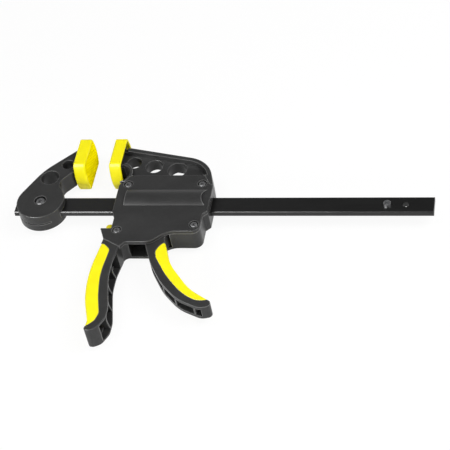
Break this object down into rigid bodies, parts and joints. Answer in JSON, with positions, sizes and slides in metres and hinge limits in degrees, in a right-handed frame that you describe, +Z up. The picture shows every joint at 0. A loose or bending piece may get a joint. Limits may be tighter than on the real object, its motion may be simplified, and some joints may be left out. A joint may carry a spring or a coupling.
{
  "type": "quick release bar clamp",
  "caption": "Quick release bar clamp: flat steel bar, fixed jaw, sliding jaw with pistol handle and squeeze trigger, soft cup pads and a release button",
  "frame": {"origin": "centre of the fixed pad's clamping face", "axes": "+X along the bar from the fixed jaw towards the moving jaw, +Y from the bar towards the pads, +Z up through the clamp's thickness as it lies"},
  "size_m": [0.34, 0.2062, 0.029],
  "materials": {
    "bar_steel": "satin black oxide",
    "black_plastic": "fine-grained satin",
    "yellow_rubber": "soft matte",
    "yellow_plastic": "smooth",
    "black_screws": "black oxide",
    "plain_steel": "plain"
  },
  "bodies": {
    "bar_frame": {"bar": "bar_steel", "stop_pin": "plain_steel", "fixed_jaw": "black_plastic", "fixed_jaw_screw": "black_screws", "fixed_jaw_nut": "plain_steel", "fixed_pad": "yellow_rubber"},
    "housing": {"housing_body": "black_plastic", "housing_cover": "black_plastic", "housing_screws": "black_screws", "handle_grip": "yellow_rubber", "moving_pad": "yellow_rubber", "trigger_pin": "plain_steel", "drive_spring": "plain_steel", "brake_spring": "plain_steel"},
    "trigger": {"trigger": "black_plastic", "trigger_grip": "yellow_rubber"},
    "drive": {"drive_plate_1": "plain_steel", "drive_plate_2": "plain_steel"},
    "brake": {"brake_plate": "plain_steel", "release_button": "yellow_plastic"}
  },
  "joints": [
    {"name": "jaw_slide", "type": "slide", "parent": "bar_frame", "child": "housing", "axis": [1, 0, 0], "range_m": [-0.0193, 0.1365]},
    {"name": "trigger_squeeze", "type": "hinge", "parent": "housing", "child": "trigger", "pos_m": [0.076, -0.0764, 0], "axis": [0, 0, 1], "range_deg": [-24, 0], "stiffness_Nm_per_rad": 0.5, "springref_deg": 8.59},
    {"name": "drive_feed", "type": "slide", "parent": "housing", "child": "drive", "axis": [1, 0, 0], "range_m": [0, 0.0056], "deforming": ["drive_spring"]},
    {"name": "release_press", "type": "hinge", "parent": "housing", "child": "brake", "pos_m": [0.0422, -0.03765, 0], "axis": [0, 0, 1], "range_deg": [0, 5], "stiffness_Nm_per_rad": 0.3, "springref_deg": -2.86, "deforming": ["brake_spring"]}
  ],
  "couplings": [
    {"joint": "drive_feed", "follows": "trigger_squeeze", "m_per_rad": -0.0126}
  ]
}
